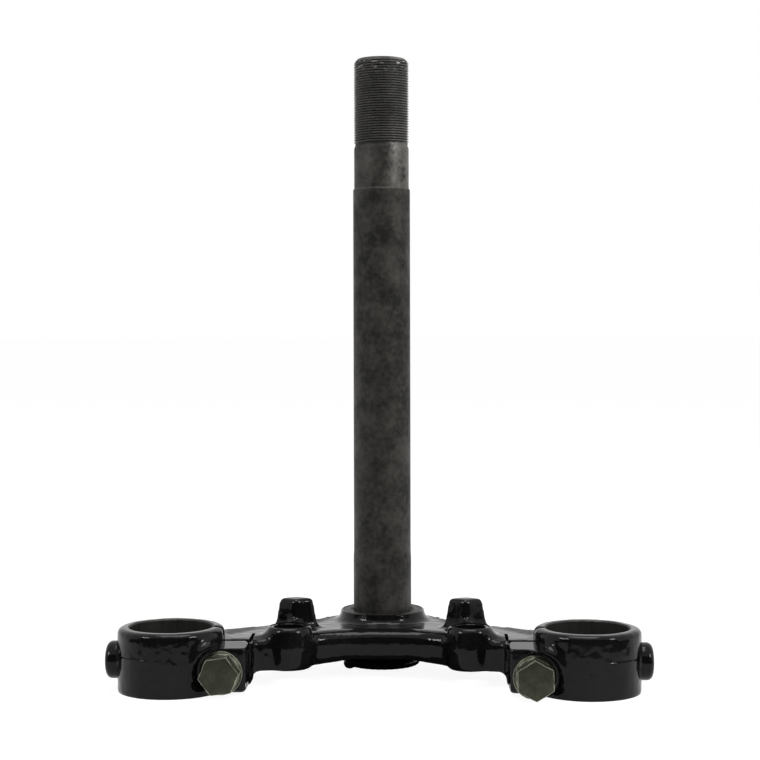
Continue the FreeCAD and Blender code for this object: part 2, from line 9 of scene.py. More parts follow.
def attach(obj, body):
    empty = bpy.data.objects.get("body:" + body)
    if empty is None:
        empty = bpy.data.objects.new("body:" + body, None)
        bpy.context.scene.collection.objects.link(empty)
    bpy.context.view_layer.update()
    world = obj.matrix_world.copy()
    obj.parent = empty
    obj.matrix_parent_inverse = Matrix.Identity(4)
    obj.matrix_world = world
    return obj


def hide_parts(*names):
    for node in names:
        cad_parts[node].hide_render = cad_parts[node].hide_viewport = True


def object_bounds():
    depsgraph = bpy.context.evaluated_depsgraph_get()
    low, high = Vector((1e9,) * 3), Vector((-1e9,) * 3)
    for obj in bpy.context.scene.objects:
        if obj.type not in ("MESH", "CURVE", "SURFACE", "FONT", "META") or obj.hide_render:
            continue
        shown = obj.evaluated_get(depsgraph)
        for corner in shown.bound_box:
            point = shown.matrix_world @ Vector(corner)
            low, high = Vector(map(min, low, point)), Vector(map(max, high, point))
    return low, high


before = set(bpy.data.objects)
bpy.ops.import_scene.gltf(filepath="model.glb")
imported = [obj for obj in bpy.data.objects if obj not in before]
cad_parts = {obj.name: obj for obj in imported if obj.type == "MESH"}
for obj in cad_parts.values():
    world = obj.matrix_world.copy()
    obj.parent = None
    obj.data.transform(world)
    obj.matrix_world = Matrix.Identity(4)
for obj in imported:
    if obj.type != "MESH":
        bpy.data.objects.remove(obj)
CAD_LOW, CAD_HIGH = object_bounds()

bl_info = {
    "name": "Steering stem",
    "version": (1, 0, 0),
    "blender": (4, 5, 0),
    "location": "3D View > Sidebar > Steering stem",
    "description": "Builds a motorbike steering stem piece by piece",
    "category": "Add Mesh",
}

MM = 0.001
UP = Vector((0, 0, 1))
SIDES = (-1, 1)
FULL_TURN = 2 * math.pi
QUARTER_TURN = math.pi / 2
SMOOTH_ANGLE = math.radians(32)

# How far a cutter runs past the metal, a place well in front of the yoke and a height well above it.
SPARE = 3 * MM
FRONT = -0.1
HIGH = 0.05

# The yoke's shapes in millimetres: profiles of (radius, height), and slabs with depth and upper corners.
BOSS = ((0, -16.6), (8.3, -16.6), (9.2, -8.6), (8.6, -2.4), (7.7, -0.75), (0, -0.75))
SIDE_BOSS = ((0, -4), (7.0, -4), (7.0, 2.2), (6.8, 3.0), (6.35, 3.65), (5.7, 4.1), (4.8, 4.4), (0, 4.4))
COLLAR_FOOT = ((0, -8), (19.6, -8), (19.8, -4.2), (18.8, -4.05), (18.0, -3.75), (17.4, -3.3), (16.85, -2.3))
COLLAR_WALL = ((16.65, -1.9), (16.6, -1.6), (16.6, -0.45), (16.5, -0.2), (16.25, -0.05), (15.9, 0), (0, 0))
ARM_SLABS = (
    ("arm_front", 9.9,
     ((36, -42.2, -6.6), (40, -43.3, -6.6), (48.4, -45.5, -6.6), (48.4, -36, -6.6), (36, -36, -6.6))),
    ("arm_brow", 8,
     ((36, -41.2, -5.2), (40, -42.3, -5.2), (48.4, -44.6, -5.2), (48.4, -36, -5.2), (36, -36, -5.2))),
    ("web_heel", 3.3,
     ((12, -28.2, -12), (20, -31.7, -12.6), (28, -35.4, -13.2), (28, -25, -13.2), (12, -22, -12))),
    ("arm_crown", 5,
     ((43, -15.6, -3.9), (52, -24.4, -3.2), (63, -35.2, -2.5), (57, -41, -4.4), (44, -29, -4.6))),
    ("web_crown", 5,
     ((29, -7.4, -3.3), (25, -4.3, -3.1), (20.5, 5, -3.5), (16, 12, -4.2), (15, 0, -4.5), (27, -14, -4.5))),
)
EAR_PAD = ((48.0, -49, -4.1), (64, -49, -4.1), (64, -30, -2.9), (48.0, -30, -2.9))
EAR_SLOPE = ((46.5, -49, -4.1), (61, -49, -4.1), (61, -68, -5.1), (46.5, -68, -5.1))
SEAM_START = math.radians(60)
SEAM_SWEEP = math.radians(40)

# The studio, in metres: each front lamp's name, its share of the glint and its place, and the lamps' edges.
FRONT_LAMPS = (("left", 0.75, (-0.93, -0.62, 0.75)), ("right", 1.0, (0.95, -0.62, 0.75)))
FRONT_BOX, GLINT_BOX, TOP_BOX, WINDOW_BOX = 0.16, 0.28, 0.6, 0.5
LAMP_AIM = Vector((0, -0.03, 0.05))
CAMERA_PLACE = Vector((21.592, -685.211, 111.4)) * MM
SENSOR_WIDTH = 36.0


def number(name, description, default, **more):
    """A number that a user may change."""
    return bpy.props.FloatProperty(name=name, description=description, default=default, **more)


def length(name, description, millimetres):
    """A size, given in millimetres."""
    return number(name, description, millimetres * MM, min=0, unit="LENGTH", precision=5)


def angle(name, description, degrees):
    """A turn, given in degrees."""
    return number(name, description, math.radians(degrees), subtype="ANGLE")


def strength(name, description, watts):
    """A lamp's power."""
    return number(name, description, watts, min=0, unit="POWER")


def colour(name, description, *linear):
    """A colour that a user may change, in linear light."""
    return bpy.props.FloatVectorProperty(
        name=name, description=description, default=linear, min=0, max=1, size=3, subtype="COLOR"
    )


class YokeSizes(bpy.types.PropertyGroup):
    """Sizes of the forged yoke, across and forward from the stem's axis and down from the collar's top."""

    fork_x: length("Fork leg X", "Across to a fork leg's axis", 77.5)
    fork_y: length("Fork leg Y", "Forward to the fork legs", 48.8)
    bore: length("Clamp bore radius", "Hole for a fork leg", 15.5)
    ring: length("Clamp ring radius", "Outside of a clamp ring", 19.7)
    ring_top: length("Ring top", "Height of the rings' tops", 1.0)
    ring_foot: length("Ring foot", "Depth of the rings' feet", 22.4)
    bore_edge: length("Bore edge", "Bevel at a bore's ends", 0.35)
    slot_front: length("Slot front", "Forward to the slot's front wall", 50.0)
    slot_back: length("Slot back", "Forward to the slot's back wall", 47.6)
    slot_start: length("Slot start", "Across to the inner end of the slot", 47.4)
    bolt_x: length("Bolt X", "Across to a bolt's axis", 57.3)
    bolt_drop_left: length("Left bolt drop", "Depth of the left bolt's axis", 13.6)
    bolt_drop_right: length("Right bolt drop", "Depth of the right bolt's axis", 14.8)
    bolt_hole: length("Bolt hole radius", "Hole in a front ear", 4.3)
    bolt_end: length("Bolt hole end", "Forward to the bolt holes' ends", 37.0)
    ear_face: length("Ear face", "Forward to the ears' front faces", 62.0)
    spot_face: length("Spot face radius", "Flat under a bolt's flange", 8.8)
    spot_pocket: length("Spot pocket radius", "The forging's pocket round that flat", 9.9)
    lip: length("Lip radius", "Outside of the lip round a bolt's pocket", 11.1)
    lip_pocket: length("Lip pocket radius", "Inside of the lip", 9.5)
    lip_reach: length("Lip reach", "How far it stands in front of the ear's face", 4.2)
    boss_x: length("Bracket boss X", "Across to a bracket boss's axis", 34.4)
    boss_y: length("Bracket boss Y", "Forward to the bracket bosses", 36.0)
    boss_hole: length("Bracket hole radius", "Hole in a bracket boss", 5.8)
    boss_edge: length("Bracket hole edge", "Bevel at a bracket hole's ends", 0.15)
    boss_land: length("Bracket land radius", "Flat on a bracket boss", 7.4)
    boss_top: length("Bracket land drop", "Depth of that flat", 1.1)
    boss_foot: length("Bracket boss foot", "Depth of the bracket bosses' undersides", 16.3)
    side_drop: length("Side boss drop", "Depth of the side bosses' axes", 11.4)
    lug_x: length("Stop lug X", "Across to a stop lug", 32.9)
    lug_y: length("Stop lug Y", "Forward to the stop lugs", 20.2)
    stem_hole: length("Stem hole radius", "Hole that the tube is pressed into", 12.1)
    stem_edge: length("Stem hole edge", "Bevel at the stem hole's top", 0.8)
    hub_foot: length("Hub foot", "Depth of the hub's underside", 18.5)
    collar_land: length("Collar land radius", "Outside of the bare ring on the collar", 15.9)
    collar_skim: length("Collar skim", "Paint and metal turned off the collar's top", 0.12)
    grain: length("Forging grain", "Edge of a cell of the forged skin", 0.58)
    fillet: length("Forging fillet", "Rounding of the forging's inner corners", 1.9)
    paint: length("Paint thickness", "What the paint adds to the forging", 0.2)
    wave: length("Forging waves", "Height of the forged skin's slow waves", 0.16)
    wave_run: length("Wave run", "Length of the forged skin's slow waves", 10)
    ripple: length("Forging ripples", "Height of the forged skin's short waves", 0.16)
    ripple_run: length("Ripple run", "Length of the forged skin's short waves", 3)
    seam_drop: length("Seam drop", "Depth of the forging's parting line", 8.6)
    seam_gap: length("Seam gap", "Radius of the crease left at the parting line", 0.4)


class StemSizes(bpy.types.PropertyGroup):
    """Sizes of the turned tube and its thread."""

    tail: length("Tail", "Depth of the tube's lower end", 22.0)
    reach: length("Reach", "Height of the tube's upper end", 219.5)
    bore: length("Tube bore radius", "Hole through the tube", 7.0)
    press: length("Press radius", "The part in the yoke", 12.1)
    press_drop: length("Press drop", "Depth of that part's upper end", 0.8)
    lower_seat: length("Lower seat radius", "Seat of the lower bearing", 11.5)
    lower_seat_top: length("Lower seat top", "Height of the lower seat's end", 20.4)
    tube: length("Tube radius", "The plain middle", 11.35)
    tube_foot: length("Tube foot", "Height at which the plain middle starts", 23.8)
    tube_top: length("Tube top", "Height at which the plain middle ends", 167.3)
    upper_seat: length("Upper seat radius", "Seat of the upper bearing", 10.9)
    upper_seat_foot: length("Upper seat foot", "Height at which the upper seat starts", 168.0)
    upper_seat_top: length("Upper seat top", "Height of the upper seat's end", 183.7)
    relief: length("Relief radius", "The neck below the thread", 10.45)
    relief_foot: length("Relief foot", "Height at which that neck starts", 184.9)
    relief_top: length("Relief top", "Height at which that neck ends", 185.6)
    thread: length("Thread radius", "Outside of the thread", 10.9)
    thread_foot: length("Thread foot", "Height at which the thread starts", 186.1)
    pitch: length("Pitch", "Rise of the thread in one turn", 1.0)
    depth: length("Thread depth", "Depth of the thread's groove", 0.68)


class BoltSizes(bpy.types.PropertyGroup):
    """Sizes of a pinch bolt."""

    across_flats: length("Across flats", "Between opposite flats of the head", 13.0)
    head: length("Head height", "From the seat to the head's end", 8.4)
    flange: length("Flange radius", "The washer face", 8.1)
    flange_edge: length("Flange edge", "Thickness of the flange at its rim", 1.5)
    flange_rise: length("Flange rise", "Rise of the flange towards the hex", 0.9)
    shank: length("Shank radius", "The shank in the ears", 4.0)
    shank_length: length("Shank length", "From the seat to the shank's end", 24.5)
    turn_left: angle("Left turn", "How far the left bolt's hex is turned", 23)
    turn_right: angle("Right turn", "How far the right bolt's hex is turned", -2)


class WeldSizes(bpy.types.PropertyGroup):
    """Sizes of the weld round the tube's tail."""

    ring: length("Seam radius", "The seam's middle line", 13.3)
    low: length("Seam low", "Depth of the seam's underside", 21.9)
    middle: length("Seam middle", "Depth of the seam's middle line", 20.4)
    beads: bpy.props.IntProperty(name="Beads", description="Beads round the seam", default=34, min=3)
    bead: length("Bead radius", "One bead of the seam", 1.75)
    lump_x: length("Lump X", "Across to the start lump, at the left", 12.7)
    lump_y: length("Lump Y", "Forward to the start lump", 9.6)
    lump: length("Lump radius", "The lump where the seam starts", 2.5)


class Finishes(bpy.types.PropertyGroup):
    """Colours of the finishes."""

    paint: colour("Paint", "Gloss black paint", 0.003, 0.0031, 0.0033)
    paint_thin: colour("Thin paint", "Paint where it is thin or dusty", 0.006, 0.0062, 0.0065)
    bare: colour("Bare iron", "Machined bores and lands", 0.026, 0.0253, 0.0221)
    bare_dark: colour("Stained iron", "Oil stain in the bores", 0.005, 0.0048, 0.0041)
    steel: colour("Stem steel", "Turned steel of the tube", 0.041, 0.0393, 0.0355)
    steel_dark: colour("Stained steel", "Oil stain on the tube", 0.012, 0.0116, 0.0102)
    # Painted highlight: the lighter steel on the right of the upper seat, where the lamp's sheen falls.
    seat: colour("Seat steel", "Steel of the upper seat, where it is rubbed clean", 0.1, 0.096, 0.089)
    # Also the painted highlight on the thread's crests.
    thread: colour("Oiled thread", "Steel of the thread's flanks", 0.23, 0.226, 0.215)
    # Grime patches, and painted shade in the thread's roots.
    thread_grime_and_shade: colour("Grime", "Old oil in the thread", 0.012, 0.0116, 0.011)
    thread_nick: colour("Nicks", "Bright nicks in the top turns", 0.75, 0.74, 0.72)
    zinc: colour("Zinc", "Dull plating of the bolts", 0.047, 0.049, 0.032)
    zinc_dark: colour("Stained zinc", "Darker patches of the plating", 0.024, 0.0255, 0.0165)
    zinc_rubbed: colour("Rubbed zinc", "Edges rubbed by the spanner", 0.72, 0.73, 0.58)


class StudioSizes(bpy.types.PropertyGroup):
    """Camera, lamps and floor."""

    focal: length("Focal length", "Lens of the camera", 81.18)
    shift: number("Shift", "Upward shift of the frame", -0.0421)
    shift_side: number("Side shift", "Shift of the frame to the right", -0.0007)
    yaw: angle("Yaw", "Turn of the camera about the upright", -1.8506)
    pitch: angle("Pitch", "Downward tilt of the camera", 0.5913)
    roll: angle("Roll", "Roll of the camera", -0.1424)
    lamps: strength("Front lamps", "Power of each of the two front lamps", 3.0)
    glints: strength("Glints", "Power of the gloss boxes round the front lamps", 9.0)
    top: strength("Top lamp", "Power of the lamp overhead", 6.5)
    window: strength("Window", "Power of the broad light at the right", 6.5)
    sky: number("Room light", "Light from the room on the object", 0.4, min=0)
    paper: number("Paper glow", "Share of the floor's white that keeps no shadow", 0.8, min=0, max=1)


class StemSettings(bpy.types.PropertyGroup):
    """All that a user may change."""

    yoke: bpy.props.PointerProperty(type=YokeSizes)
    stem: bpy.props.PointerProperty(type=StemSizes)
    bolt: bpy.props.PointerProperty(type=BoltSizes)
    weld: bpy.props.PointerProperty(type=WeldSizes)
    finish: bpy.props.PointerProperty(type=Finishes)
    studio: bpy.props.PointerProperty(type=StudioSizes)


def settings():
    """The scene's settings."""
    return bpy.context.scene.steering_stem


def pick(piece, *others):
    """Selects only these objects, the first of them active."""
    bpy.ops.object.select_all(action="DESELECT")
    for each in (piece, *others):
        each.select_set(True)
    bpy.context.view_layer.objects.active = piece


def settle(name):
    """Names the object just added and puts its place into its mesh."""
    piece = bpy.context.object
    piece.name = name
    piece.data.name = name
    pick(piece)
    bpy.ops.object.transform_apply(location=True, rotation=True, scale=True)
    return piece


def begin(name, primitive, stretch=None, **values):
    """Starts a piece from a primitive, with nothing else selected. A flat one is stretched afterwards."""
    bpy.ops.object.select_all(action="DESELECT")
    primitive(**values)
    if stretch:
        bpy.context.object.scale = stretch
    return settle(name)


def edit_all(kind="VERT"):
    """Opens the active piece for editing, with all of it selected."""
    bpy.ops.object.mode_set(mode="EDIT")
    bpy.ops.mesh.select_mode(type=kind)
    bpy.ops.mesh.select_all(action="SELECT")


def close_skin():
    """Merges the doubles of the mesh in edit mode, points its faces outwards and leaves edit mode."""
    bpy.ops.mesh.select_all(action="SELECT")
    bpy.ops.mesh.remove_doubles(threshold=MM / 1000)
    bpy.ops.mesh.normals_make_consistent(inside=False)
    bpy.ops.object.mode_set(mode="OBJECT")


def add_bar(name, radius, start, end, sides=64):
    """A round bar between two points."""
    start, end = Vector(start), Vector(end)
    return begin(
        name,
        bpy.ops.mesh.primitive_cylinder_add,
        vertices=sides,
        radius=radius,
        depth=(end - start).length,
        location=(start + end) / 2,
        rotation=(end - start).to_track_quat("Z", "Y").to_euler(),
    )


def add_block(name, low, high):
    """A block between two corners."""
    low, high = Vector(low), Vector(high)
    return begin(name, bpy.ops.mesh.primitive_cube_add, size=1, location=(low + high) / 2, scale=high - low)


def rough_block(name, low, high, height):
    """A block with a sawn, uneven skin."""
    piece = add_block(name, low, high)
    edit_all()
    bpy.ops.mesh.subdivide(number_cuts=30)
    bpy.ops.object.mode_set(mode="OBJECT")
    roughen(piece, height, grain=1.6 * MM)
    return piece


def side_box(side, across, along, upright):
    """The low and high corners of a box on one side of the middle plane."""
    ends = sorted(side * x for x in across)
    return (ends[0], along[0], upright[0]), (ends[1], along[1], upright[1])


def draw_line(name, points):
    """A line through points, left in edit mode with all of it selected."""
    piece = begin(name, bpy.ops.mesh.primitive_plane_add, size=MM)
    edit_all()
    bpy.ops.mesh.merge(type="CENTER")
    last = Vector()
    for index, point in enumerate(points):
        step = Vector(point) - last
        if index:
            bpy.ops.mesh.extrude_vertices_move(TRANSFORM_OT_translate={"value": step})
        else:
            bpy.ops.transform.translate(value=step)
        last = Vector(point)
    bpy.ops.mesh.select_all(action="SELECT")
    return piece


def turn_profile(name, points, sides=96, unit=1):
    """A solid turned about the Z axis from (radius, height) points in this unit."""
    piece = draw_line(name, [(radius * unit, 0, height * unit) for radius, height in points])
    bpy.ops.mesh.spin(steps=sides, angle=FULL_TURN, center=(0, 0, 0), axis=(0, 0, 1))
    close_skin()
    return piece


def add_slab(name, side, corners, rise):
    """A slab on one side of the middle plane, its corners and its rise in millimetres."""
    piece = draw_line(name, [Vector((side * x, y, z)) * MM for x, y, z in corners])
    bpy.ops.mesh.edge_face_add()
    bpy.ops.mesh.select_all(action="SELECT")
    bpy.ops.mesh.extrude_region_move(TRANSFORM_OT_translate={"value": Vector((0, 0, rise)) * MM})
    close_skin()
    return piece


def move(piece, offset):
    """Moves a piece's mesh."""
    pick(piece)
    bpy.ops.transform.translate(value=offset)
    bpy.ops.object.transform_apply(location=True, rotation=True, scale=True)


def join(piece, others):
    """Makes the others part of the piece."""
    pick(piece, *others)
    bpy.ops.object.join()
    return piece


def use_modifier(piece, kind, **values):
    """Adds a modifier with these values and applies it."""
    pick(piece)
    modifier = piece.modifiers.new(kind.lower(), kind)
    for key, value in values.items():
        setattr(modifier, key, value)
    bpy.ops.object.modifier_apply(modifier=modifier.name)


def combine(piece, tool, operation):
    """Joins or cuts the piece with a tool, which is used up. A tool with no finish leaves the piece's own."""
    if not tool.data.materials:
        tool.data.materials.append(piece.data.materials[0])
    use_modifier(
        piece, "BOOLEAN", object=tool, operation=operation, solver="MANIFOLD", material_mode="TRANSFER"
    )
    bpy.data.objects.remove(tool)


def cut(piece, tool):
    """Cuts the tool out of the piece."""
    combine(piece, tool, "DIFFERENCE")


def roughen(piece, height, grain, direction="NORMAL"):
    """Uneven waves of this height and length along the surface."""
    texture = bpy.data.textures.new("waves", "CLOUDS")
    texture.noise_scale = grain
    use_modifier(piece, "DISPLACE", texture=texture, strength=height, mid_level=0.5, direction=direction)
    bpy.data.textures.remove(texture)


def finish_piece(piece, node):
    """Shades the piece and lets it stand for its CAD node."""
    pick(piece)
    bpy.ops.object.shade_smooth_by_angle(angle=SMOOTH_ANGLE)
    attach(piece, "root")
    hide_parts(node)


def node_copy(node, name):
    """A copy of a CAD node's mesh with its doubles merged."""
    piece = bpy.data.objects.new(name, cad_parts[node].data.copy())
    bpy.context.scene.collection.objects.link(piece)
    piece.data.name = name
    piece.data.materials.clear()
    pick(piece)
    bpy.ops.object.mode_set(mode="EDIT")
    close_skin()
    return piece


class NodeMaker:
    """Adds nodes to a material, a world or a group one by one."""

    def __init__(self, tree):
        self.tree = tree

    def feed(self, node, **sources):
        """Gives a node's inputs, called by name or by _number, their links or values."""
        for key, source in sources.items():
            socket = node.inputs[int(key[1:])] if key[1:].isdigit() else node.inputs[key.replace("_", " ")]
            if isinstance(source, bpy.types.NodeSocket):
                self.tree.links.new(source, socket)
            else:
                socket.default_value = (*source, 1.0) if socket.type == "RGBA" else source
        return node

    def add(self, kind, values=None, **sources):
        """Adds a node with these settings and inputs."""
        node = self.tree.nodes.new(kind)
        for key, value in (values or {}).items():
            setattr(node, key, value)
        return self.feed(node, **sources)

    def math(self, operation, first, second):
        """The result of one sum."""
        return self.add("ShaderNodeMath", {"operation": operation}, _0=first, _1=second).outputs[0]

    def blend(self, mask, low, high):
        """A colour between two, by a mask."""
        return self.add("ShaderNodeMix", {"data_type": "RGBA"}, _0=mask, _6=low, _7=high).outputs[2]

    def spread(self, value, low, high, new_low=0.0, new_high=1.0):
        """A value moved from one range to another and kept inside it."""
        node = self.add(
            "ShaderNodeMapRange", {"clamp": True}, _0=value, _1=low, _2=high, _3=new_low, _4=new_high
        )
        return node.outputs[0]

    def noise(self, place, scale, detail, **more):
        """An uneven value."""
        return self.add("ShaderNodeTexNoise", Vector=place, Scale=scale, Detail=detail, **more).outputs[0]

    def stretched(self, place, scale):
        """Coordinates that draw a pattern out where the scale is small."""
        return self.add("ShaderNodeMapping", Vector=place, Scale=scale).outputs[0]

    def effect(self, group, place, **values):
        """The mask of a shared effect, with values of its own."""
        return self.add("ShaderNodeGroup", {"node_tree": group}, Vector=place, **values).outputs["Mask"]

    def bump(self, height, distance, amount):
        """The normal of a surface raised by a height."""
        return self.add("ShaderNodeBump", Strength=amount, Distance=distance, Height=height).outputs[0]


def grey(level):
    """A plain grey."""
    return (level, level, level)


def effect_group(name, inputs):
    """An empty node group with a vector input, number inputs and one mask to put out."""
    tree = bpy.data.node_groups.new(name, "ShaderNodeTree")
    tree.interface.new_socket("Vector", in_out="INPUT", socket_type="NodeSocketVector")
    for label, default in inputs:
        socket = tree.interface.new_socket(label, in_out="INPUT", socket_type="NodeSocketFloat")
        socket.default_value = default
    tree.interface.new_socket("Mask", in_out="OUTPUT", socket_type="NodeSocketFloat")
    make = NodeMaker(tree)
    return tree, make, make.add("NodeGroupInput").outputs, make.add("NodeGroupOutput")


def stain_group():
    """Uneven stain: large patches broken up by small ones."""
    tree, make, given, out = effect_group(
        "stain", (("Large", 60.0), ("Small", 420.0), ("Low", 0.42), ("High", 0.62))
    )
    large = make.noise(given["Vector"], given["Large"], 5.0, Roughness=0.6)
    small = make.noise(given["Vector"], given["Small"], 3.0)
    mixed = make.math("ADD", make.math("MULTIPLY", large, 0.7), make.math("MULTIPLY", small, 0.3))
    make.feed(out, Mask=make.spread(mixed, given["Low"], given["High"]))
    return tree


def rub_group():
    """Edges rubbed bare: where the rounded normal leaves the true one, broken up by noise."""
    tree, make, given, out = effect_group(
        "rubbed_edges", (("Radius", 0.5 * MM), ("Noise", 700.0), ("Keep", 0.5))
    )
    rounded = make.add("ShaderNodeBevel", {"samples": 6}, Radius=given["Radius"])
    plain = make.add("ShaderNodeNewGeometry").outputs["Normal"]
    dot = make.add("ShaderNodeVectorMath", {"operation": "DOT_PRODUCT"}, _0=rounded.outputs[0], _1=plain)
    edge = make.spread(dot.outputs["Value"], 0.996, 0.91)
    broken = make.spread(make.noise(given["Vector"], given["Noise"], 4.0), given["Keep"], 0.75)
    make.feed(out, Mask=make.math("MULTIPLY", edge, broken))
    return tree


def turning_group():
    """Fine lines left by a lathe, square to the Z axis."""
    tree, make, given, out = effect_group("turning_lines", (("Lines", 1500.0), ("Wander", 30.0)))
    lines = make.noise(make.stretched(given["Vector"], (0.02, 0.02, 1.0)), given["Lines"], 2.0)
    fade = make.noise(given["Vector"], given["Wander"], 2.0)
    make.feed(out, Mask=make.math("MULTIPLY", lines, fade))
    return tree


def new_material(name):
    """A new node material's maker, its shader and its object coordinates."""
    material = bpy.data.materials.new(name)
    material.use_nodes = True
    make = NodeMaker(material.node_tree)
    shader = material.node_tree.nodes["Principled BSDF"]
    return make, shader, make.add("ShaderNodeTexCoord").outputs["Object"]


def paint_material(finish, groups):
    """Thick gloss black paint over a forging."""
    make, shader, place = new_material("black_paint")
    thin = make.effect(groups["stain"], place, Large=45.0, Small=300.0, Low=0.45, High=0.7)
    peel = make.noise(place, 330.0, 2.0)
    ripple = make.noise(make.stretched(place, (0.3, 0.3, 1.0)), 260.0, 1.0)
    height = make.math("ADD", peel, make.math("MULTIPLY", ripple, 1.4))
    make.feed(
        shader,
        Base_Color=make.blend(thin, finish.paint, finish.paint_thin),
        Roughness=make.spread(thin, 0.0, 1.0, 0.08, 0.16),
        Specular_IOR_Level=0.155,
        Normal=make.bump(height, distance=0.1 * MM, amount=0.3),
    )


def bare_material(finish, groups):
    """Bare bored iron with streaks along the bore."""
    make, shader, place = new_material("bare_iron")
    along = make.stretched(place, (1.0, 1.0, 0.08))
    streaks = make.effect(groups["stain"], along, Large=260.0, Small=900.0, Low=0.38, High=0.66)
    lines = make.effect(groups["turning"], place, Lines=2200.0)
    make.feed(
        shader,
        Base_Color=make.blend(streaks, finish.bare_dark, finish.bare),
        Roughness=make.spread(streaks, 0.0, 1.0, 0.6, 0.42),
        Metallic=0.55,
        Normal=make.bump(lines, distance=0.08 * MM, amount=0.4),
    )


def steel_material(finish, groups):
    """Dark turned steel with oil stain and lathe lines, and a painted highlight: the upper seat's right side
    is lighter and glossier.
    """
    make, shader, place = new_material("turned_steel")
    sizes = settings().stem
    stain = make.effect(groups["stain"], place, Large=90.0, Small=520.0, Low=0.4, High=0.6)
    parts = make.add("ShaderNodeSeparateXYZ", Vector=place).outputs
    seat = make.spread(parts["Z"], sizes.tube_top, sizes.upper_seat_foot)
    # Painted highlight: the right side of the upper seat is made lighter and glossier, where the right lamp's
    # sheen falls on it.
    edge_wear_and_seat_highlight = make.math("MULTIPLY", seat, make.spread(parts["X"], 1.0 * MM, 5.5 * MM))
    highlit_seat_steel = make.blend(edge_wear_and_seat_highlight, finish.steel, finish.seat)
    dull = make.spread(stain, 0.0, 1.0, 0.58, 0.48)
    lines = make.effect(groups["turning"], place, Lines=1800.0)
    make.feed(
        shader,
        Base_Color=make.blend(stain, finish.steel_dark, highlit_seat_steel),
        Roughness=make.math("SUBTRACT", dull, make.math("MULTIPLY", edge_wear_and_seat_highlight, 0.1)),
        Metallic=0.3,
        Specular_IOR_Level=0.14,
        Normal=make.bump(lines, distance=0.1 * MM, amount=0.35),
    )


def thread_material(finish, groups):
    """Oily thread with grime, a painted highlight on its crests and painted shade in its roots, nicked in its
    top turns.
    """
    make, shader, place = new_material("oiled_thread")
    sizes = settings().stem
    grime = make.effect(groups["stain"], place, Large=120.0, Small=700.0, Low=0.36, High=0.62)
    across = make.add("ShaderNodeVectorMath", {"operation": "MULTIPLY"}, _0=place, _1=(1, 1, 0))
    radius = make.add("ShaderNodeVectorMath", {"operation": "LENGTH"}, _0=across.outputs[0]).outputs["Value"]
    # Painted light and shade: by radius, the crests get the light thread colour and the roots the dark one.
    crest_highlight_root_shade = make.spread(radius, sizes.thread - 0.65 * MM, sizes.thread - 0.1 * MM)
    lit_clean_crest = make.math("MULTIPLY", crest_highlight_root_shade, make.spread(grime, 0.0, 1.0, 0.45, 1.0))
    shaded_grimy_thread = make.blend(lit_clean_crest, finish.thread_grime_and_shade, finish.thread)
    height = make.add("ShaderNodeSeparateXYZ", Vector=place).outputs["Z"]
    top_turns = make.spread(height, sizes.reach - 7 * MM, sizes.reach - 2 * MM)
    dents = make.noise(make.stretched(place, (1, 1, 2.2)), 420.0, 2.0)
    nicks = make.math("MULTIPLY", make.spread(dents, 0.6, 0.66), top_turns)
    make.feed(
        shader,
        Base_Color=make.blend(nicks, shaded_grimy_thread, finish.thread_nick),
        Roughness=make.spread(grime, 0.0, 1.0, 0.5, 0.36),
        Metallic=0.6,
    )


def zinc_material(finish, groups):
    """Dull olive zinc plating, rubbed light along the edges."""
    make, shader, place = new_material("dull_zinc")
    stain = make.effect(groups["stain"], place, Large=210.0, Small=900.0, Low=0.36, High=0.66)
    plated = make.blend(stain, finish.zinc_dark, finish.zinc)
    edge_wear_and_seat_highlight = make.effect(groups["rub"], place, Radius=0.5 * MM, Noise=420.0, Keep=0.2)
    grit = make.noise(place, 1600.0, 3.0)
    make.feed(
        shader,
        Base_Color=make.blend(edge_wear_and_seat_highlight, plated, finish.zinc_rubbed),
        Roughness=make.spread(stain, 0.0, 1.0, 0.5, 0.38),
        Metallic=0.7,
        Normal=make.bump(grit, distance=0.08 * MM, amount=0.3),
    )


def finishes():
    """The object's materials, made once."""
    if "black_paint" not in bpy.data.materials:
        groups = {"stain": stain_group(), "rub": rub_group(), "turning": turning_group()}
        for maker in (paint_material, bare_material, steel_material, thread_material, zinc_material):
            maker(settings().finish, groups)
    return bpy.data.materials


def bore_tool(name, radius, edge, top, foot, centre, material=None):
    """A cutter for a hole with a bevel at each end."""
    flare = 2 * MM
    wide = radius + edge
    lower = ((0, foot - flare), (wide + flare, foot - flare), (wide, foot), (radius, foot + edge))
    upper = ((radius, top - edge), (wide, top), (wide + flare, top + flare), (0, top + flare))
    tool = turn_profile(name, lower + upper)
    move(tool, (*centre, 0))
    if material:
        tool.data.materials.append(material)
    return tool


def seam_tool(sizes, side):
    """A wandering thread of metal that leaves a broken crease on a clamp ring's front."""
    centre = Vector((side * sizes.fork_x, -sizes.fork_y, -sizes.seam_drop))
    outward = Vector((side * math.sin(SEAM_START), -math.cos(SEAM_START), 0))
    tool = begin(
        "seam",
        bpy.ops.mesh.primitive_circle_add,
        vertices=8,
        radius=sizes.seam_gap,
        location=centre + sizes.ring * outward,
        rotation=(QUARTER_TURN, 0, side * (SEAM_START - QUARTER_TURN)),
    )
    edit_all()
    bpy.ops.mesh.spin(steps=60, angle=side * SEAM_SWEEP, center=centre, axis=(0, 0, 1))
    bpy.ops.mesh.select_all(action="SELECT")
    bpy.ops.mesh.fill_holes(sides=0)
    close_skin()
    roughen(tool, height=0.5 * MM, grain=5 * MM)
    roughen(tool, height=1.6 * MM, grain=7 * MM, direction="Z")
    return tool


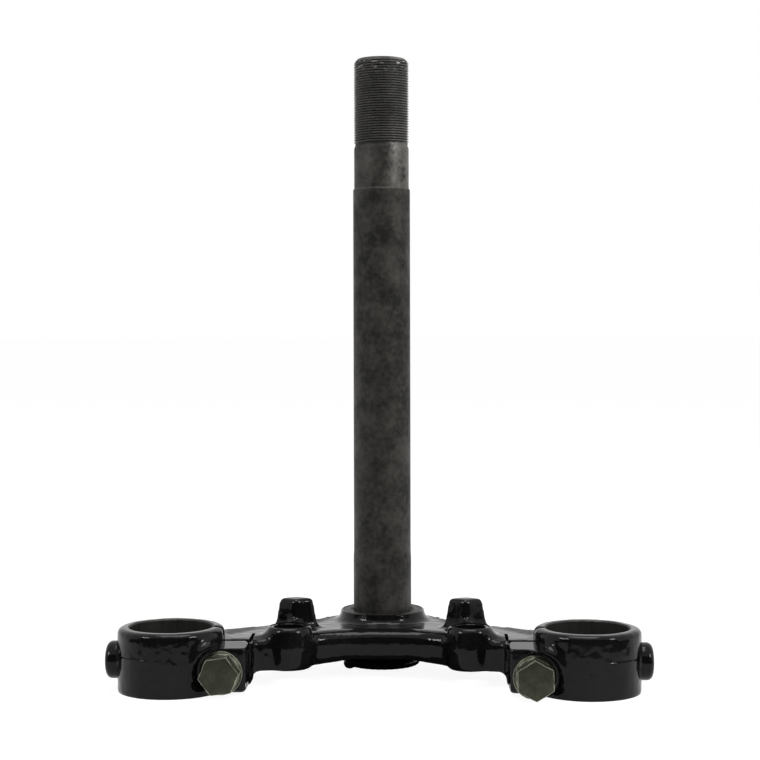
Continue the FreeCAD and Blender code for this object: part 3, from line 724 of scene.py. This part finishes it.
class STEM_OT_yoke(bpy.types.Operator):
    """Forge, grind and bore the yoke"""

    bl_idname = "steering_stem.yoke"
    bl_label = "Yoke"

    def execute(self, context):
        sizes = settings().yoke
        looks = finishes()
        yoke = node_copy("bridge", "yoke")
        yoke.data.materials.append(looks["black_paint"])
        self.clear_sides(yoke, sizes)
        join(yoke, self.forging_masses(sizes))
        self.fill_corners(yoke, sizes)
        use_modifier(yoke, "SMOOTH", factor=0.5, iterations=4)
        roughen(yoke, sizes.wave, sizes.wave_run)
        roughen(yoke, sizes.ripple, sizes.ripple_run)
        combine(yoke, turn_profile("collar", COLLAR_FOOT + COLLAR_WALL, sides=128, unit=MM), "UNION")
        for side in SIDES:
            combine(yoke, self.side_boss(sizes, side), "UNION")
        self.machine(yoke, sizes, looks["bare_iron"])
        for side in SIDES:
            self.saw(yoke, sizes, side)
            cut(yoke, seam_tool(sizes, side))
        finish_piece(yoke, "bridge")
        return {"FINISHED"}

    def clear_sides(self, yoke, sizes):
        """Takes off the plain solid's side bosses and stop lugs, and sinks pockets round the bolts' seats."""
        reach = sizes.fork_x + sizes.ring
        for side in SIDES:
            box = side_box(side, (reach + 0.05 * MM, reach + 20 * MM), (FRONT, 0), (-HIGH, HIGH))
            cut(yoke, add_block("side_cut", *box))
            box = side_box(side, (24 * MM, 42 * MM), (-27 * MM, -10 * MM), (-4.1 * MM, 20 * MM))
            cut(yoke, add_block("lug_cut", *box))
            x, z = self.bolt_axis(sizes, side)
            cut(yoke, add_bar("pocket", sizes.spot_pocket, (x, FRONT, z), (x, -sizes.ear_face, z)))

    def bolt_axis(self, sizes, side):
        """X and Z of a pinch bolt's axis."""
        return side * sizes.bolt_x, -(sizes.bolt_drop_left if side < 0 else sizes.bolt_drop_right)

    def forging_masses(self, sizes):
        """Plugs for the holes that are bored later, and what the forging has over the plain solid."""
        top, foot = sizes.ring_top, -sizes.ring_foot
        stock = 0.6 * MM
        masses = [add_bar("plug", sizes.stem_hole + stock, (0, 0, -18 * MM), (0, 0, -MM))]
        for side in SIDES:
            x, y = side * sizes.fork_x, -sizes.fork_y
            low = (x, y, foot - stock)
            masses.append(add_bar("plug", sizes.bore + 0.7 * MM, low, (x, y, top)))
            masses.append(add_bar("ring_foot", sizes.ring - 0.1 * MM, low, (x, y, foot + 3 * MM)))
            masses.append(self.boss(sizes, side))
            masses.append(self.lug(sizes, side))
            masses.append(self.bolt_lip(sizes, side))
            masses.extend(add_slab(name, side, corners, -depth) for name, depth, corners in ARM_SLABS)
        return masses

    def boss(self, sizes, side):
        """A bracket boss, widest at the parting line and a little in front of its hole."""
        piece = turn_profile("boss", BOSS, sides=48, unit=MM)
        move(piece, (side * sizes.boss_x, -sizes.boss_y - 0.3 * MM, 0))
        return piece

    def bolt_lip(self, sizes, side):
        """The lip that the bolt's boss raises in front of the ring, over the bolt's outer side."""
        x, z = self.bolt_axis(sizes, side)
        width = 20 * MM
        lip = add_bar("lip", sizes.lip, (x, -sizes.ear_face - sizes.lip_reach, z), (x, -55 * MM, z))
        lip.data.materials.append(finishes()["black_paint"])
        cut(lip, add_bar("pocket", sizes.lip_pocket, (x, FRONT, z), (x, -sizes.ear_face, z)))
        inner = side_box(side, (sizes.bolt_x - width, sizes.bolt_x), (FRONT, 0), (-HIGH, HIGH))
        cut(lip, add_block("inner_half", *inner))
        lower = side_box(side, (sizes.bolt_x - width, sizes.bolt_x + width), (FRONT, 0), (-HIGH, z - 2 * MM))
        cut(lip, add_block("lower_half", *lower))
        return lip

    def lug(self, sizes, side):
        """A stop lug with a ridge to the front."""
        piece = begin(
            "lug",
            bpy.ops.mesh.primitive_cone_add,
            vertices=4,
            radius1=9.2 * MM,
            radius2=6.8 * MM,
            depth=13 * MM,
            location=(side * sizes.lug_x, -sizes.lug_y, 0.7 * MM),
            scale=(1, 0.66, 1),
        )
        edit_all()
        bpy.ops.mesh.bevel(offset=1.1 * MM, segments=3, affect="EDGES")
        close_skin()
        return piece

    def fill_corners(self, yoke, sizes):
        """Rounds the inner corners: the skin is thickened until they close, then thinned back."""
        for step in (sizes.fillet, sizes.paint - sizes.fillet):
            use_modifier(yoke, "REMESH", mode="VOXEL", voxel_size=sizes.grain, adaptivity=0)
            use_modifier(yoke, "SMOOTH", factor=0.5, iterations=1)
            use_modifier(yoke, "DISPLACE", strength=step, mid_level=0)
        use_modifier(yoke, "REMESH", mode="VOXEL", voxel_size=sizes.grain, adaptivity=0)

    def side_boss(self, sizes, side):
        """A round boss on a ring's outer side, with a soft rim."""
        piece = turn_profile("side_boss", SIDE_BOSS, sides=64, unit=MM)
        piece.rotation_euler = (0, side * QUARTER_TURN, 0)
        piece.location = (side * (sizes.fork_x + sizes.ring), -sizes.fork_y, -sizes.side_drop)
        return settle("side_boss")

    def machine(self, yoke, sizes, bare):
        """Faces and bores the forging."""
        top, foot = sizes.ring_top, -sizes.ring_foot
        wide = 0.2
        cut(yoke, add_block("foot_plane", (-wide, -wide, foot - 20 * MM), (wide, wide, foot)))
        cut(yoke, bore_tool("stem_bore", sizes.stem_hole, sizes.stem_edge, 0, -sizes.hub_foot, (0, 0), bare))
        land = add_bar("land", sizes.collar_land, (0, 0, -sizes.collar_skim), (0, 0, SPARE))
        land.data.materials.append(bare)
        cut(yoke, land)
        for side in SIDES:
            fork = (side * sizes.fork_x, -sizes.fork_y)
            cut(yoke, bore_tool("bore", sizes.bore, sizes.bore_edge, top, foot, fork, bare))
            boss = (side * sizes.boss_x, -sizes.boss_y)
            land_top, boss_foot = -sizes.boss_top, -sizes.boss_foot
            cut(yoke, add_bar("boss_face", sizes.boss_land, (*boss, land_top), (*boss, 0.4 * MM)))
            cut(yoke, bore_tool("boss_bore", sizes.boss_hole, sizes.boss_edge, land_top, boss_foot, boss))
            x, z = self.bolt_axis(sizes, side)
            face = -sizes.ear_face
            cut(yoke, add_bar("bolt_hole", sizes.bolt_hole, (x, face - SPARE, z), (x, -sizes.bolt_end, z)))
            cut(yoke, add_bar("spot", sizes.spot_face, (x, face - 4 * SPARE, z), (x, face, z)))

    def saw(self, yoke, sizes, side):
        """Mills the ears' tops, parts them from the arm and saws the slot."""
        top, foot = sizes.ring_top, -sizes.ring_foot
        x, y = side * sizes.fork_x, -sizes.fork_y
        for corners in (EAR_PAD, EAR_SLOPE):
            mill = add_slab("mill", side, corners, 8)
            mill.data.materials.append(yoke.data.materials[0])
            cut(mill, add_bar("ring_guard", sizes.ring + 0.25 * MM, (x, y, -HIGH), (x, y, HIGH)))
            cut(yoke, mill)
        box = side_box(side, (45.4 * MM, 48.4 * MM), (-66 * MM, -45.7 * MM), (foot - SPARE, top))
        cut(yoke, rough_block("ear_end", *box, height=0.7 * MM))
        box = side_box(side, (47.3 * MM, 48.5 * MM), (-50 * MM, -34.5 * MM), (-5.8 * MM, top))
        cut(yoke, rough_block("kerf", *box, height=0.6 * MM))
        walls = (-sizes.slot_front, -sizes.slot_back)
        box = side_box(side, (sizes.slot_start, sizes.fork_x), walls, (foot - SPARE, top + SPARE))
        cut(yoke, rough_block("slot", *box, height=0.5 * MM))


class STEM_OT_tube(bpy.types.Operator):
    """Turn the stem tube and cut its thread"""

    bl_idname = "steering_stem.tube"
    bl_label = "Stem tube"

    def execute(self, context):
        sizes = settings().stem
        soft, bevel, crown = 0.25 * MM, 0.5 * MM, 1.6 * MM
        points = (
            (sizes.bore, bevel - sizes.tail), (sizes.bore + bevel, -sizes.tail),
            (sizes.press - soft, -sizes.tail), (sizes.press, soft - sizes.tail),
            (sizes.press, -sizes.press_drop), (sizes.lower_seat, -sizes.press_drop),
            (sizes.lower_seat, sizes.lower_seat_top), (sizes.tube, sizes.tube_foot),
            (sizes.tube, sizes.tube_top), (sizes.upper_seat, sizes.upper_seat_foot),
            (sizes.upper_seat, sizes.upper_seat_top), (sizes.relief + soft, sizes.relief_foot - bevel),
            (sizes.relief, sizes.relief_foot), (sizes.relief, sizes.relief_top),
            (sizes.thread, sizes.thread_foot), (sizes.thread, sizes.reach - crown),
            (sizes.thread - 1.3 * MM, sizes.reach - 0.15 * MM), (sizes.thread - crown, sizes.reach),
            (sizes.bore + bevel, sizes.reach), (sizes.bore, sizes.reach - bevel),
            (sizes.bore, bevel - sizes.tail),
        )
        tube = turn_profile("stem", points, sides=128)
        tube.data.materials.append(finishes()["turned_steel"])
        groove = self.thread_tool(sizes)
        groove.data.materials.append(finishes()["oiled_thread"])
        cut(tube, groove)
        finish_piece(tube, "stem_tube")
        return {"FINISHED"}

    def thread_tool(self, sizes):
        """A right-hand groove wound up the tube's top."""
        turns, steps = 36, 64
        first_turn = sizes.thread_foot - 0.9 * MM
        mouth = sizes.thread + 0.1 * MM
        root = sizes.thread - sizes.depth
        half_mouth, half_root = sizes.pitch * 0.47, sizes.pitch * 0.09
        tool = begin("groove", bpy.ops.mesh.primitive_circle_add, vertices=4, radius=MM, fill_type="NOTHING")
        corners = ((root, -half_root), (mouth, -half_mouth), (mouth, half_mouth), (root, half_root))
        for vertex, (radius, height) in zip(tool.data.vertices, corners):
            vertex.co = (radius, 0, height + first_turn)
        wind = {"angle": FULL_TURN, "screw_offset": sizes.pitch, "iterations": turns}
        fineness = {"steps": steps, "render_steps": steps}
        use_modifier(tool, "SCREW", axis="Z", **wind, **fineness, use_normal_calculate=True)
        edit_all("EDGE")
        bpy.ops.mesh.fill_holes(sides=0)
        close_skin()
        return tool


class STEM_OT_bolts(bpy.types.Operator):
    """Make a flange bolt and set one in each clamp"""

    bl_idname = "steering_stem.bolts"
    bl_label = "Pinch bolts"

    def execute(self, context):
        sizes = settings().bolt
        yoke = settings().yoke
        first = self.make_bolt(sizes, finishes()["dull_zinc"])
        for side, name, node, turn, drop in (
            (-1, "bolt_left", "pinch_bolt_left", sizes.turn_left, yoke.bolt_drop_left),
            (1, "bolt_right", "pinch_bolt_right", sizes.turn_right, yoke.bolt_drop_right),
        ):
            pick(first)
            bpy.ops.object.duplicate()
            bolt = settle(name)
            bolt.rotation_euler = (QUARTER_TURN, turn, 0)
            bolt.location = (side * yoke.bolt_x, -yoke.ear_face, -drop)
            settle(name)
            finish_piece(bolt, node)
        bpy.data.objects.remove(first)
        return {"FINISHED"}

    def make_bolt(self, sizes, plating):
        """A hex flange bolt, its seat at the origin and its head up."""
        corner = sizes.across_flats / math.sqrt(3)
        half = sizes.across_flats / 2
        seat, rim, tip = 0.02 * MM, 0.4 * MM, 0.6 * MM
        head = add_bar("head", corner, (0, 0, MM), (0, 0, sizes.head), sides=6)
        head.data.materials.append(plating)
        edit_all()
        bpy.ops.mesh.bevel(offset=0.3 * MM, segments=2, affect="EDGES")
        close_skin()
        crown = (
            (0, 0), (corner + MM, 0), (corner + MM, sizes.head - MM),
            (half - 0.2 * MM, sizes.head - 0.12 * MM), (half - 0.9 * MM, sizes.head), (0, sizes.head),
        )
        combine(head, turn_profile("crown", crown), "INTERSECT")
        end, edge, rise = -sizes.shank_length, sizes.flange_edge, sizes.flange_rise
        flange = (
            (0, end), (sizes.shank - tip, end), (sizes.shank, end + tip), (sizes.shank, seat),
            (sizes.flange - rim, seat), (sizes.flange - 0.3 * rim, 0.3 * rim), (sizes.flange, rim),
            (sizes.flange, edge - rim), (sizes.flange - 0.3 * rim, edge - 0.3 * rim),
            (sizes.flange - rim, edge), (half + 0.5 * MM, edge + rise * 0.8),
            (half - 0.5 * MM, edge + rise), (0, edge + rise),
        )
        combine(head, turn_profile("flange", flange), "UNION")
        return head


class STEM_OT_weld(bpy.types.Operator):
    """Lay the weld round the tube's tail"""

    bl_idname = "steering_stem.weld"
    bl_label = "Weld seam"

    def execute(self, context):
        sizes = settings().weld
        add_ball = bpy.ops.mesh.primitive_ico_sphere_add
        lean, drawn_out = math.radians(24), (1.0, 1.7, 1.0)
        beads = []
        for index in range(sizes.beads):
            turn = FULL_TURN * index / sizes.beads
            lie = {"rotation": (0, lean, turn), "scale": drawn_out}
            place = (sizes.ring * math.cos(turn), sizes.ring * math.sin(turn), -sizes.middle)
            beads.append(begin("bead", add_ball, subdivisions=3, radius=sizes.bead, location=place, **lie))
        place = (-sizes.lump_x, -sizes.lump_y, -sizes.low + 2.0 * MM)
        beads.append(begin("lump", add_ball, subdivisions=3, radius=sizes.lump, location=place))
        seam = join(beads[0], beads[1:])
        seam.name = "weld"
        seam.data.name = "weld"
        use_modifier(seam, "REMESH", mode="VOXEL", voxel_size=0.3 * MM, adaptivity=0)
        use_modifier(seam, "SMOOTH", factor=0.5, iterations=10)
        seam.data.materials.append(finishes()["black_paint"])
        finish_piece(seam, "weld_bead")
        return {"FINISHED"}


class STEM_OT_studio(bpy.types.Operator):
    """Set the floor, the lamps and the camera"""

    bl_idname = "steering_stem.studio"
    bl_label = "Studio"

    def execute(self, context):
        sizes = settings().studio
        self.add_camera(sizes)
        self.add_floor(sizes)
        self.add_room(sizes)
        self.add_cards()
        for name, part, place in FRONT_LAMPS:
            self.add_lamp("front_" + name, sizes.lamps, FRONT_BOX, place).visible_glossy = False
            self.add_lamp("glint_" + name, sizes.glints * part, GLINT_BOX, place).visible_diffuse = False
        self.add_lamp("overhead", sizes.top, TOP_BOX, (0.0, -0.05, 0.95))
        self.add_lamp("window", sizes.window, WINDOW_BOX, (0.95, -0.55, 0.35)).visible_glossy = False
        context.scene.view_settings.view_transform = "Standard"
        return {"FINISHED"}

    def add_camera(self, sizes):
        """The camera at the photographer's place."""
        data = bpy.data.cameras.new("camera")
        data.lens = sizes.focal / MM
        data.sensor_width = SENSOR_WIDTH
        data.shift_x = sizes.shift_side
        data.shift_y = sizes.shift
        camera = bpy.data.objects.new("camera", data)
        bpy.context.scene.collection.objects.link(camera)
        across = Vector((math.cos(sizes.yaw), -math.sin(sizes.yaw), 0))
        ahead = Vector((math.sin(sizes.yaw), math.cos(sizes.yaw), 0))
        forward = math.cos(sizes.pitch) * ahead - math.sin(sizes.pitch) * UP
        above = math.sin(sizes.pitch) * ahead + math.cos(sizes.pitch) * UP
        right = math.cos(sizes.roll) * across + math.sin(sizes.roll) * above
        top = -math.sin(sizes.roll) * across + math.cos(sizes.roll) * above
        turn = Matrix((right, top, -forward)).transposed()
        camera.matrix_world = Matrix.Translation(CAMERA_PLACE) @ turn.to_4x4()
        bpy.context.scene.camera = camera

    def add_floor(self, sizes):
        """A wide white paper floor."""
        floor = begin("floor", bpy.ops.mesh.primitive_plane_add, size=60, location=(0, 0, CAD_LOW.z))
        material = bpy.data.materials.new("paper")
        material.use_nodes = True
        make = NodeMaker(material.node_tree)
        material.node_tree.nodes.clear()
        grain = make.add("ShaderNodeTexNoise", Scale=40.0, Detail=3.0).outputs[0]
        matt = make.add("ShaderNodeBsdfDiffuse", Color=make.blend(grain, grey(0.86), grey(0.88)))
        glow = make.add("ShaderNodeEmission", Color=grey(1), Strength=1.15)
        part = make.math("MULTIPLY", self.seen_directly(make), sizes.paper)
        mix = make.add("ShaderNodeMixShader", _0=part, _1=matt.outputs[0], _2=glow.outputs[0])
        make.add("ShaderNodeOutputMaterial", Surface=mix.outputs[0])
        floor.data.materials.append(material)

    def seen_directly(self, make):
        """1 for rays from the camera, from gloss and through glass."""
        path = make.add("ShaderNodeLightPath").outputs
        gloss = make.math("MAXIMUM", path["Is Camera Ray"], path["Is Glossy Ray"])
        return make.math("MAXIMUM", gloss, path["Is Transmission Ray"])

    def add_room(self, sizes):
        """Soft white light from all round."""
        world = bpy.data.worlds.new("room")
        world.use_nodes = True
        bpy.context.scene.world = world
        make = NodeMaker(world.node_tree)
        world.node_tree.nodes.clear()
        level = make.spread(self.seen_directly(make), 0.0, 1.0, sizes.sky, 1.0)
        light = make.add("ShaderNodeBackground", Color=grey(1), Strength=level)
        make.add("ShaderNodeOutputWorld", Surface=light.outputs[0])

    def add_cards(self):
        """Dark cards in front, which only gloss shows. The low one leaves the rings clear. The disc under the
        yoke is a painted shadow: it darkens the floor's reflection under the hub, where the floor lies in
        shade.
        """
        yoke = settings().yoke
        material = self.card_material()
        half, far, near, clearing = 2.6, -1.9, -0.05, 0.115
        lift = CAD_LOW.z + 0.5 * MM
        low = add_block("card_low", (-half, far, lift), (half, near, CAD_LOW.z + MM))
        low.data.materials.append(material)
        for side in SIDES:
            x, y = side * yoke.fork_x, -yoke.fork_y
            cut(low, add_bar("clearing", clearing, (x, y, -HIGH), (x, y, HIGH), sides=96))
        upright = {"size": 1, "location": (0, -1.3, 0.5), "rotation": (QUARTER_TURN, 0, 0)}
        tall = begin("card_tall", bpy.ops.mesh.primitive_plane_add, (5.4, 1.2, 1), **upright)
        # Painted shadow: a dark disc under the yoke, seen only in gloss, stands in for the floor's shade
        # under the hub.
        disc = {"vertices": 96, "radius": 1, "fill_type": "NGON", "location": (0, -0.02, lift)}
        under = begin("card_under", bpy.ops.mesh.primitive_circle_add, (0.057, 0.034, 1), **disc)
        tall.data.materials.append(material)
        under.data.materials.append(material)
        for card in (low, tall, under):
            card.visible_camera = card.visible_diffuse = False
            card.visible_shadow = card.visible_transmission = False

    def card_material(self):
        """Dark matt card."""
        material = bpy.data.materials.new("dark_card")
        material.use_nodes = True
        make = NodeMaker(material.node_tree)
        weave = make.add("ShaderNodeTexNoise", Scale=30.0).outputs[0]
        make.feed(
            material.node_tree.nodes["Principled BSDF"],
            Base_Color=make.blend(weave, grey(0.01), grey(0.03)),
            Roughness=0.9,
            Specular_IOR_Level=0.0,
        )
        return material

    def add_lamp(self, name, power, size, place):
        """A square soft box aimed at the object's middle."""
        data = bpy.data.lights.new(name, "AREA")
        data.energy = power
        data.size = size
        lamp = bpy.data.objects.new(name, data)
        bpy.context.scene.collection.objects.link(lamp)
        lamp.location = place
        aim = LAMP_AIM - Vector(place)
        lamp.rotation_euler = aim.to_track_quat("-Z", "Y").to_euler()
        return lamp


class STEM_PT_panel(bpy.types.Panel):
    """Lists the pieces"""

    bl_idname = "STEM_PT_panel"
    bl_label = "Steering stem"
    bl_space_type = "VIEW_3D"
    bl_region_type = "UI"
    bl_category = "Steering stem"

    def draw(self, context):
        for operator in OPERATORS:
            self.layout.operator(operator.bl_idname)


OPERATORS = (STEM_OT_yoke, STEM_OT_tube, STEM_OT_weld, STEM_OT_bolts, STEM_OT_studio)
GROUPS = (YokeSizes, StemSizes, BoltSizes, WeldSizes, Finishes, StudioSizes, StemSettings)
CLASSES = (*GROUPS, *OPERATORS, STEM_PT_panel)


def register():
    """Makes the settings, operators and panel known."""
    for each in CLASSES:
        bpy.utils.register_class(each)
    bpy.types.Scene.steering_stem = bpy.props.PointerProperty(type=StemSettings)


def unregister():
    """Takes them away again."""
    del bpy.types.Scene.steering_stem
    for each in reversed(CLASSES):
        bpy.utils.unregister_class(each)


def main():
    """Builds every piece and the stage."""
    register()
    bpy.ops.steering_stem.yoke()
    bpy.ops.steering_stem.tube()
    bpy.ops.steering_stem.weld()
    bpy.ops.steering_stem.bolts()
    bpy.ops.steering_stem.studio()


if __name__ == "__main__":
    main()
